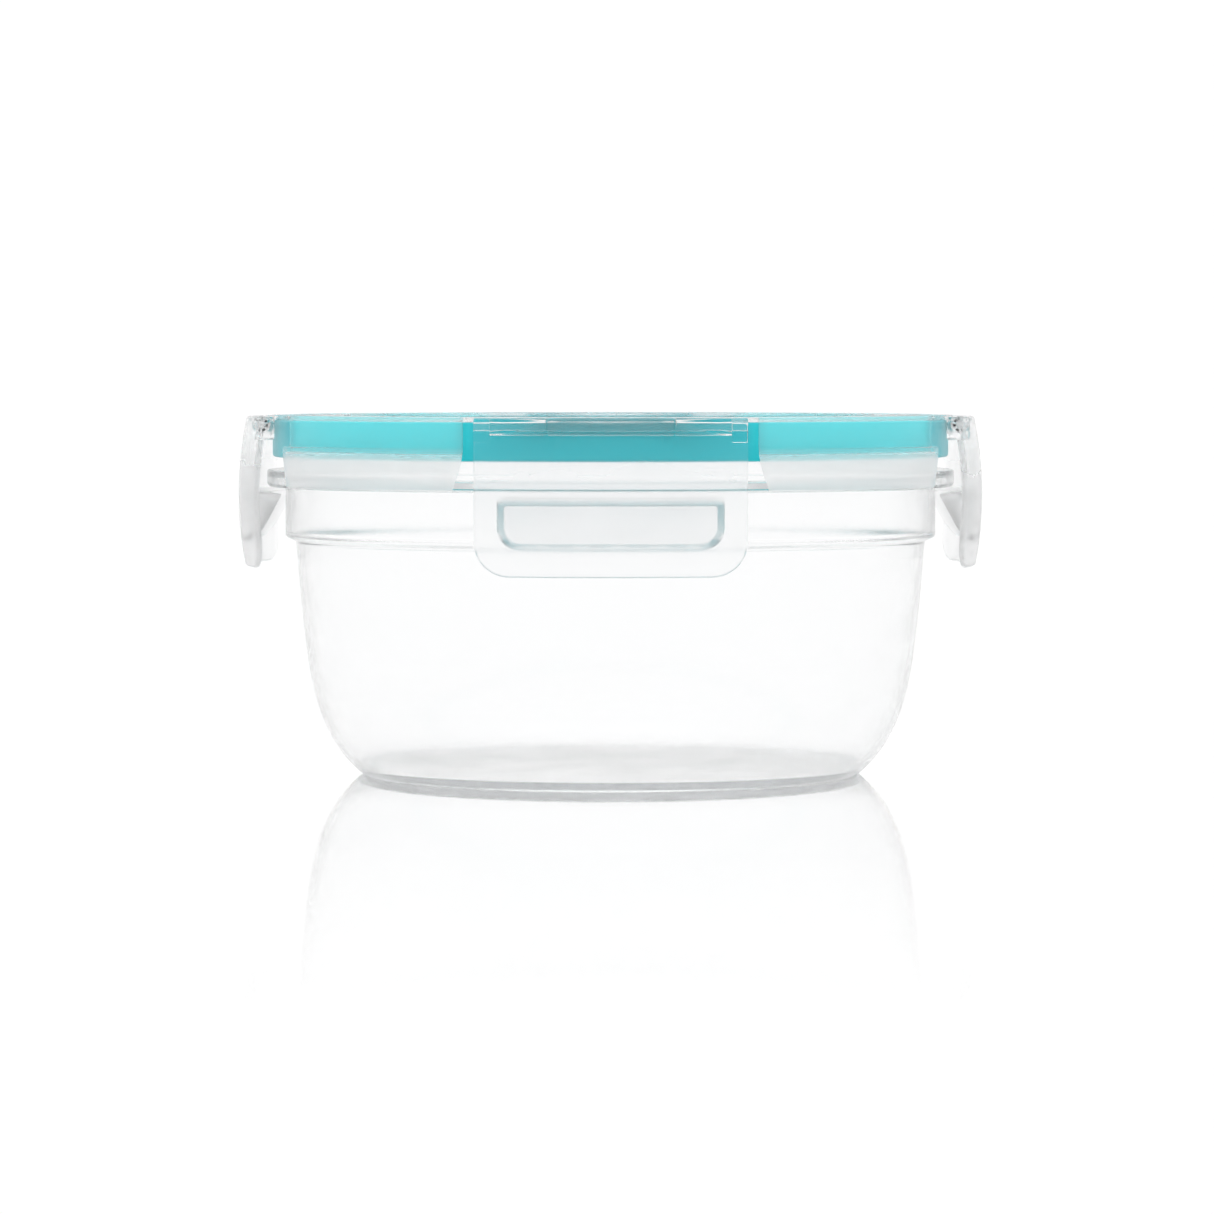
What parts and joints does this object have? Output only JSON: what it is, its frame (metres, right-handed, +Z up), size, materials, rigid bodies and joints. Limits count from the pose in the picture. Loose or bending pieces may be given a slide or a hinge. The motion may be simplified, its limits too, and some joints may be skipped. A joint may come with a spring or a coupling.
{
  "type": "snap lid food container",
  "caption": "Round clear plastic food bowl with a flat clear lid, a teal seal and hinged latches that hook under the bowl's flange.",
  "frame": {"origin": "centre of the foot ring, on the surface that the bowl stands on", "axes": "+Z up through the lid; -Y towards the front latch; +X towards the right latch"},
  "size_m": [0.1706, 0.1706, 0.0823],
  "materials": {
    "bowl_plastic": "clear, glossy outside, very slightly hazy",
    "lid_plastic": "clear, glossy, slightly hazy",
    "latch_plastic": "clear, satin",
    "seal_rubber": "teal, satin",
    "pin_plastic": "clear, glossy"
  },
  "bodies": {
    "bowl": {"container_body": "bowl_plastic"},
    "lid": {"lid_shell": "lid_plastic", "seal_ring": "seal_rubber"},
    "front_pin": {"front_hinge_pin": "pin_plastic"},
    "front_latch": {"front_latch": "latch_plastic"},
    "right_pin": {"right_hinge_pin": "pin_plastic"},
    "right_latch": {"right_latch": "latch_plastic"},
    "back_pin": {"back_hinge_pin": "pin_plastic"},
    "back_latch": {"back_latch": "latch_plastic"},
    "left_pin": {"left_hinge_pin": "pin_plastic"},
    "left_latch": {"left_latch": "latch_plastic"}
  },
  "joints": [
    {"name": "lid_lift", "type": "slide", "parent": "bowl", "child": "lid", "axis": [0, 0, 1], "range_m": [0, 0.01]},
    {"name": "front_pin_turn", "type": "hinge", "parent": "lid", "child": "front_pin", "pos_m": [0, -0.0784, 0.0804], "axis": [-1, 0, 0], "range_deg": [0, 34]},
    {"name": "front_latch_hinge", "type": "hinge", "parent": "front_pin", "child": "front_latch", "pos_m": [0, -0.0784, 0.0804], "axis": [-1, 0, 0], "range_deg": [0, 66]},
    {"name": "right_pin_turn", "type": "hinge", "parent": "lid", "child": "right_pin", "pos_m": [0.0784, 0, 0.0804], "axis": [0, -1, 0], "range_deg": [0, 34]},
    {"name": "right_latch_hinge", "type": "hinge", "parent": "right_pin", "child": "right_latch", "pos_m": [0.0784, 0, 0.0804], "axis": [0, -1, 0], "range_deg": [0, 66]},
    {"name": "back_pin_turn", "type": "hinge", "parent": "lid", "child": "back_pin", "pos_m": [0, 0.0784, 0.0804], "axis": [1, 0, 0], "range_deg": [0, 34]},
    {"name": "back_latch_hinge", "type": "hinge", "parent": "back_pin", "child": "back_latch", "pos_m": [0, 0.0784, 0.0804], "axis": [1, 0, 0], "range_deg": [0, 66]},
    {"name": "left_pin_turn", "type": "hinge", "parent": "lid", "child": "left_pin", "pos_m": [-0.0784, 0, 0.0804], "axis": [0, 1, 0], "range_deg": [0, 34]},
    {"name": "left_latch_hinge", "type": "hinge", "parent": "left_pin", "child": "left_latch", "pos_m": [-0.0784, 0, 0.0804], "axis": [0, 1, 0], "range_deg": [0, 66]}
  ],
  "couplings": [
    {"joint": "front_pin_turn", "follows": "lid_lift", "rad_per_m": 58},
    {"joint": "right_pin_turn", "follows": "lid_lift", "rad_per_m": 58},
    {"joint": "back_pin_turn", "follows": "lid_lift", "rad_per_m": 58},
    {"joint": "left_pin_turn", "follows": "lid_lift", "rad_per_m": 58}
  ]
}
